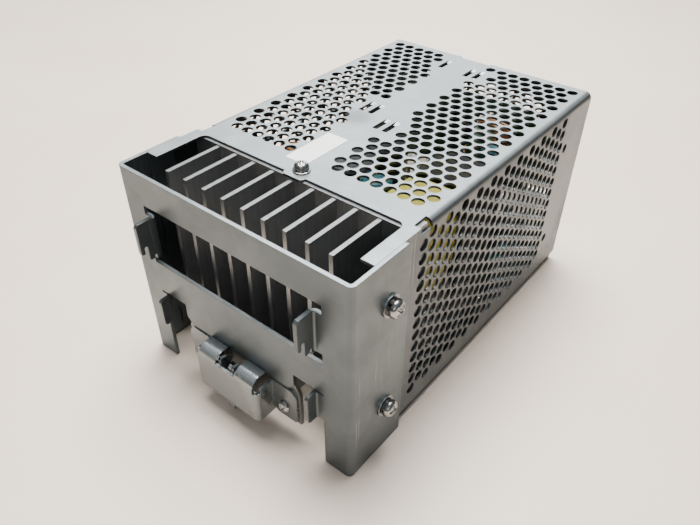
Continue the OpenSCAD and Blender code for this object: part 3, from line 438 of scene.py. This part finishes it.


# the box inside the housing where the zinc gets painted shade
housingShadeBox = {"centre": (0.0, rearY - 0.1, 0.046), "half": (0.0542, 0.0757, 0.0471)}
# the zinc finishes get painted light on faces that look up, and painted shade inside the housing
finishes = {
    "bracket_zinc": sheetMetal("bracketZinc", (0.135, 0.157, 0.168, 1), (0.102, 0.12, 0.13, 1),
                               rough=0.38, metal=0.85, marks=0.6, topLightPaint=0.35),
    "cover_zinc": sheetMetal("coverZinc", (0.11, 0.125, 0.134, 1), (0.085, 0.098, 0.106, 1),
                             rough=0.38, metal=0.85, marks=0.5, topLightPaint=0.42, paintedShadeBox=housingShadeBox,
                             weldMarks=[(at(-55, 171, 14).tolist(), 0.0022)],
                             smear={"centre": at(12.5, 88, 94).tolist(), "radius": 0.0105, "amount": 0.6}),
    "tray_zinc": sheetMetal("trayZinc", (0.17, 0.188, 0.197, 1), (0.13, 0.145, 0.153, 1),
                            rough=0.42, paintedShadeBox=housingShadeBox),
    "latch_zinc": sheetMetal("latchZinc", (0.24, 0.265, 0.27, 1), (0.19, 0.21, 0.215, 1), rough=0.27,
                             metal=0.9, marks=0.3, grain=0.06, bump=0.03, topLightPaint=0.8, topLightLevel=0.024),
    "plate_passivated": sheetMetal("platePassivated", (0.22, 0.222, 0.215, 1), (0.155, 0.157, 0.15, 1),
                                   rough=0.38, marks=0.5),
    "clamp_zinc": sheetMetal("clampZinc", (0.3, 0.31, 0.32, 1), (0.2, 0.21, 0.22, 1)),
    "sink_aluminium": finMetal("sinkAluminium", (0.34, 0.35, 0.355, 1), (0.27, 0.275, 0.28, 1),
                               top=0.0924, front=rearY - 0.0103, edge=0.5),
    "screw_nickel": brightMetal("screwNickel", (0.42, 0.42, 0.41, 1), rough=0.18),
    "washer_steel": brightMetal("washerSteel", (0.25, 0.25, 0.245, 1), rough=0.25),
    "spring_wire": brightMetal("springWire", (0.3, 0.3, 0.3, 1), rough=0.3),
    "nut_steel": brightMetal("nutSteel", (0.5, 0.5, 0.48, 1), rough=0.35),
    "standoff_brass": brightMetal("standoffBrass", (0.6, 0.45, 0.2, 1), rough=0.3),
    "fuse_metal": brightMetal("fuseMetal", (0.65, 0.65, 0.63, 1)),
    "spacer_metal": brightMetal("spacerMetal", (0.65, 0.65, 0.63, 1)),
    "terminal_metal": brightMetal("terminalMetal", (0.65, 0.65, 0.62, 1), rough=0.28),
    "label_film": plastic("labelFilm", (0.97, 0.97, 0.96, 1), rough=0.4, variation=0.03, dust=0.1, bump=0.15),
    "insulation_film": plastic("insulationFilm", (0.05, 0.05, 0.05, 1), rough=0.5),
    "ferrite": plastic("ferrite", (0.008, 0.008, 0.009, 1), rough=0.95, bump=0.5, dust=0.02),
    "bobbin_plastic": plastic("bobbinPlastic", (0.015, 0.015, 0.015, 1)),
    "choke_base": plastic("chokeBase", (0.02, 0.02, 0.024, 1), rough=0.55, dust=0.03),
    "line_core": plastic("lineCore", (0.03, 0.045, 0.04, 1), rough=0.5),
    "output_core": plastic("outputCore", (0.03, 0.12, 0.06, 1), rough=0.5),
    "holder_plastic": plastic("holderPlastic", (0.012, 0.012, 0.012, 1), rough=0.5),
    "dark_sleeve": plastic("darkSleeve", (0.012, 0.014, 0.017, 1), rough=0.35, coat=0.2, dust=0.02),
    "teal_sleeve": plastic("tealSleeve", (0.006, 0.075, 0.1, 1), rough=0.3, coat=0.3, dust=0.03),
    "film_yellow": plastic("filmYellow", (0.4, 0.3, 0.06, 1), rough=0.45),
    "disc_blue": plastic("discBlue", (0.02, 0.06, 0.22, 1), rough=0.3, coat=0.4),
    "fuse_ceramic": plastic("fuseCeramic", (0.75, 0.72, 0.66, 1), rough=0.35, variation=0.05),
    "rectifier_epoxy": plastic("rectifierEpoxy", (0.012, 0.012, 0.013, 1), rough=0.5),
    "chip_epoxy": plastic("chipEpoxy", (0.014, 0.014, 0.015, 1), rough=0.5),
    "pad_silicone": plastic("padSilicone", (0.25, 0.25, 0.26, 1), rough=0.7),
    "wire_white": plastic("wireWhite", (0.78, 0.77, 0.74, 1), rough=0.35, variation=0.04),
    "terminal_black": plastic("terminalBlack", (0.018, 0.018, 0.018, 1), rough=0.48, bump=0.4),
    "trimmer_blue": plastic("trimmerBlue", (0.02, 0.05, 0.3, 1), rough=0.3, coat=0.2),
    "rotor_white": plastic("rotorWhite", (0.78, 0.77, 0.73, 1), rough=0.4, variation=0.04),
    "enamel_wire": plastic("enamelWire", (0.33, 0.11, 0.03, 1), rough=0.25, coat=0.5, variation=0.25,
                           dust=0.05),
    "yellow_tape": tapeWrap("yellowTape", (0.5, 0.44, 0.045, 1)),
    "board_laminate": laminate("boardLaminate", (0.012, 0.06, 0.02, 1), (0.03, 0.14, 0.05, 1)),
    "clear_cover": clearPlastic("clearCover", (0.17, 0.19, 0.195, 1)),
    "lamp_green": clearPlastic("lampGreen", (0.15, 0.6, 0.2, 1), rough=0.1),
}
for part in frame["record"]["subparts"]:
    cadObject = frame["nodes"][part["node"]]
    cadObject.data.materials.clear()
    cadObject.data.materials.append(finishes[part["material_slot"]])
print("finishes placed:", len(finishes))

# ---- screws ----


def panHead(head, origin, axis, across):
    # a dome r = R sin(u)^p, z = h cos(u)^p over a shank, with a cross-shaped pit pressed into it
    domeRings, segments = 40, 96
    u = np.linspace(0, math.pi / 2, domeRings)
    power = 2 / head["roundness"]
    profile = np.stack([head["radius"] * np.sin(u) ** power, head["height"] * np.cos(u) ** power], 1)
    profile[-1, 1] = 0
    below = np.array([[head["shank"], 0], [head["shank"], -head["length"] + head["shank"] * 0.3],
                      [head["shank"] * 0.7, -head["length"]], [0, -head["length"]]])
    points, faces = turned(np.concatenate([profile, below]), segments, np.zeros(3), (0, 0, 1), (1, 0, 0))
    dome = points[:domeRings * segments]
    x, y = np.abs(dome[:, 0]), np.abs(dome[:, 1])
    armWidth, armLength = head["radius"] * 0.14, head["radius"] * 0.62
    soft = head["radius"] * 0.05
    inArm = 1 / (1 + np.exp((np.minimum(x, y) - armWidth) / soft * 2.2))
    inReach = 1 / (1 + np.exp((np.maximum(x, y) - armLength) / soft * 1.2))
    taper = 1 - 0.55 * np.maximum(x, y) / armLength
    dome[:, 2] -= head["height"] * 0.62 * inArm * inReach * np.maximum(taper, 0)
    axis, across = unit(np.array(axis, float)), unit(np.array(across, float))
    turnedBasis = np.stack([across, np.cross(axis, across), axis])
    return origin + (points * mm) @ turnedBasis, faces


def splitWasher(inner, outer, thickness, origin, axis, across, gap=0.14, rise=0.22):
    # a square section carried round nearly a full turn while it climbs a little
    a = np.linspace(gap, 2 * math.pi - gap, 72)
    axis, across = unit(np.array(axis, float)), unit(np.array(across, float))
    out = across * np.cos(a)[:, None] + np.cross(axis, across) * np.sin(a)[:, None]
    lift = rise * (a - a[0]) / (a[-1] - a[0])
    corners = np.array([[inner, 0], [outer, 0], [outer, thickness - rise], [inner, thickness - rise]]) * mm
    level = corners[None, :, 1, None] + lift[:, None, None] * mm
    points = origin + corners[None, :, 0, None] * out[:, None] + level * axis
    faces = gridFaces(len(a), 4, closeCols=True).tolist()
    faces += [[3, 2, 1, 0], [len(a) * 4 - 4 + k for k in range(4)]]
    return points.reshape(-1, 3), faces


# the four screws of the side flanges, each on a spring washer and a flat washer
bracketHalf, flatWasher, springWasher = 56.6, 0.8, 1.2
flangeScrew = {"radius": 3.6, "height": 2.7, "roundness": 2.7, "shank": 1.9, "length": 9,
               "depth": 20, "heights": (24, 74), "turns": (0.5, 1.1, 0.2, 0.8)}
heads, washers = [], []
for side in (1, -1):
    for level in flangeScrew["heights"]:
        turnBy = flangeScrew["turns"][len(heads)]
        outward, across = (side, 0, 0), (0, math.cos(turnBy), math.sin(turnBy))
        washerFoot = at(side * (bracketHalf + flatWasher), flangeScrew["depth"], level)
        headFoot = at(side * (bracketHalf + flatWasher + springWasher), flangeScrew["depth"], level)
        heads.append(panHead(flangeScrew, headFoot, outward, across))
        washers.append(splitWasher(2.1, 3.5, springWasher, washerFoot, outward, across))
flangeScrews = makePiece("flangeScrews", heads, finishes["screw_nickel"], "unit")
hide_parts("bracket_screws")
flangeWashers = makePiece("flangeWashers", washers, finishes["washer_steel"], "unit",
                          smooth=False)
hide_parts("bracket_spring_washers")

# the cover's screw: a flat washer, a split washer and the head, one above the other
topScrew = {"radius": 2.9, "height": 2.2, "roundness": 2.6, "shank": 1.5, "length": 10,
            "depth": 40.5, "level": 94, "flat": 0.6, "split": 0.8}
upward = (0, 0, 1)
flatFoot, splitFoot, headFoot = [at(0, topScrew["depth"], topScrew["level"] + rise) for rise in
                                 (0, topScrew["flat"], topScrew["flat"] + topScrew["split"])]
flatProfile = [[1.6, 0], [3.4, 0], [3.45, 0.05], [3.45, 0.52], [3.38, 0.6], [1.6, 0.6], [1.6, 0]]
topParts = [
    panHead(topScrew, headFoot, upward, (0.8, 0.6, 0)),
    splitWasher(1.7, 2.9, topScrew["split"], splitFoot, upward, (0, 1, 0), rise=0.12),
    turned(np.array(flatProfile) * mm, 64, flatFoot, upward, (1, 0, 0)),
]
topScrewPiece = makePiece("topScrew", topParts, finishes["screw_nickel"], "unit")
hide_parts("cover_screw")

# the latch housing's two screws
latchScrew = {"radius": 2.7, "height": 1.8, "roundness": 2.5, "shank": 1.3, "length": 4.2,
              "x": 23.6, "depth": 0.4, "z": 16.3}
latchHeads = [panHead(latchScrew, at(side * latchScrew["x"], latchScrew["depth"], latchScrew["z"]),
                      (0, 1, 0), (0.7, 0, side * 0.7)) for side in (1, -1)]
latchScrews = makePiece("latchScrews", latchHeads, finishes["screw_nickel"], "unit")
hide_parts("latch_screws")
print("screws made")

# ---- latch spring ----

spring = {"x": 0, "depth": -2.2, "radius": 1.7, "wire": 0.3, "turns": 6.0, "low": 13.4, "high": 21.95}
pointsPerTurn = 40
t = np.linspace(0, 1, int(spring["turns"]) * pointsPerTurn)
deadEnd = 0.75 / spring["turns"]  # the end turns lie flat
climb = np.clip((t - deadEnd) / (1 - 2 * deadEnd), 0, 1)
climb = climb * climb * (3 - 2 * climb) * 0.35 + climb * 0.65
angle = 2 * math.pi * spring["turns"] * t
lowZ, highZ = spring["low"] + spring["wire"], spring["high"] - spring["wire"]
radial = np.stack([np.cos(angle), np.sin(angle), np.zeros_like(angle)], 1)
coilPath = at(spring["x"], spring["depth"], 0) + radial * spring["radius"] * mm
coilPath[:, 2] = (lowZ + (highZ - lowZ) * climb) * mm + 0.00012 * (t - 0.5)
springTube = tube(coilPath, radial, spring["wire"] * mm, 10)
springPiece = makePiece("latchSpring", [springTube], finishes["spring_wire"], "unit")
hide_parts("latch_spring")
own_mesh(springPiece)

# ---- wound ring chokes ----


def ringWinding(choke):
    # wire round a ring: ring angle p, turn angle q = turns * p, section a rounded rectangle
    count = choke["turns"] * 28
    p = np.linspace(0, 2 * math.pi, count, endpoint=False)
    q = choke["turns"] * p
    half = (choke["outer"] - choke["inner"]) / 2 + choke["wire"]
    depth = choke["height"] / 2 + choke["wire"]
    rounding = 2 / 4.5
    bulge = np.sign(np.cos(q)) * np.abs(np.cos(q)) ** rounding
    along = np.sign(np.sin(q)) * np.abs(np.sin(q)) ** rounding
    mean = (choke["outer"] + choke["inner"]) / 2
    out = np.stack([np.zeros_like(p), np.cos(p), np.sin(p)], 1)
    offset = out * (mean + half * bulge)[:, None] + np.outer(along * depth, [1, 0, 0])
    path = at(*choke["centre"]) + offset * mm
    side = out * np.cos(q)[:, None] + np.outer(np.sin(q), [1, 0, 0])
    return tube(path, side, choke["wire"] * mm, 8, closed=True)


lineChoke = {"centre": (33, 70, 65), "inner": 8, "outer": 14, "height": 12, "wire": 0.6, "turns": 30}
outputChoke = {"centre": (-24, 142, 69.5), "inner": 7, "outer": 12, "height": 11, "wire": 0.6, "turns": 26}
for name, choke, nodeName in (("lineChokeWire", lineChoke, "line_choke_winding"),
                              ("outputChokeWire", outputChoke, "output_choke_winding")):
    wound = makePiece(name, [ringWinding(choke)], finishes["enamel_wire"], "unit")
    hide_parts(nodeName)
print("spring and chokes made")

# ---- floor, light and camera ----

floorMaterial, floorTree, floorShader, floorPlace = startMaterial("paleFloor")
floorCloud = noiseOf(floorTree, floorPlace, 9.0, Detail=4.0)
floorDark, floorLight = (0.83, 0.70, 0.585, 1), (0.86, 0.74, 0.63, 1)
floorTone = mixColour(floorTree, rangeOf(floorTree, floorCloud, 0.3, 0.7), floorDark, floorLight)
floorTree.links.new(floorTone, floorShader.inputs["Base Color"])
floorShader.inputs["Roughness"].default_value = 0.45
floorMesh = bpy.data.meshes.new("floor")
reach = 40
floorCorners = [(-reach, -reach, 0), (reach, -reach, 0), (reach, reach, 0), (-reach, reach, 0)]
floorMesh.from_pydata(floorCorners, [], [(0, 1, 2, 3)])
floorMesh.materials.append(floorMaterial)
floor = bpy.data.objects.new("floor", floorMesh)
floor.location.z = -0.0004  # just below the feet
bpy.context.scene.collection.objects.link(floor)

world = bpy.data.worlds.new("studio")
world.use_nodes = True
skyTree = world.node_tree
skyPlace = skyTree.nodes.new("ShaderNodeTexCoord").outputs["Generated"]
skyHeight = rangeOf(skyTree, partsOf(skyTree, skyPlace)[2], 0.0, 0.8)
horizon, zenith = (0.22, 0.23, 0.235, 1), (0.86, 0.92, 0.96, 1)
skyTree.links.new(mixColour(skyTree, skyHeight, horizon, zenith), skyTree.nodes["Background"].inputs["Color"])
skyTree.nodes["Background"].inputs["Strength"].default_value = 0.36
bpy.context.scene.world = world


def areaLight(name, place, target, size, power, colour):
    data = bpy.data.lights.new(name, "AREA")
    data.shape = "DISK"
    data.size = size
    data.energy = power
    data.color = colour
    lamp = bpy.data.objects.new(name, data)
    lamp.location = place
    lamp.rotation_euler = (Vector(target) - Vector(place)).to_track_quat("-Z", "Y").to_euler()
    bpy.context.scene.collection.objects.link(lamp)


areaLight("overhead", (0.2, -0.22, 1.2), (0, 0, 0.05), 0.8, 46, (1.0, 0.985, 0.955))
areaLight("farWindow", (0.9, -1.4, 0.95), (0, 0, 0.08), 1.5, 16, (0.96, 0.985, 1.0))
areaLight("windowFill", (-0.8, 1.2, 0.9), (0, 0, 0.05), 0.9, 3, (0.95, 0.98, 1.0))

camera = bpy.data.objects.new("camera", bpy.data.cameras.new("camera"))
camera.data.lens = 33.37
camera.data.sensor_width = 36
camera.data.clip_start = 0.01
camera.location = (-0.14457, 0.19462, 0.21591)
camera.rotation_euler = [math.radians(a) for a in (51.634, -0.361, -140.963)]
bpy.context.scene.collection.objects.link(camera)
bpy.context.scene.camera = camera
print("stage, lights and camera set")

bpy.context.view_layer.update()
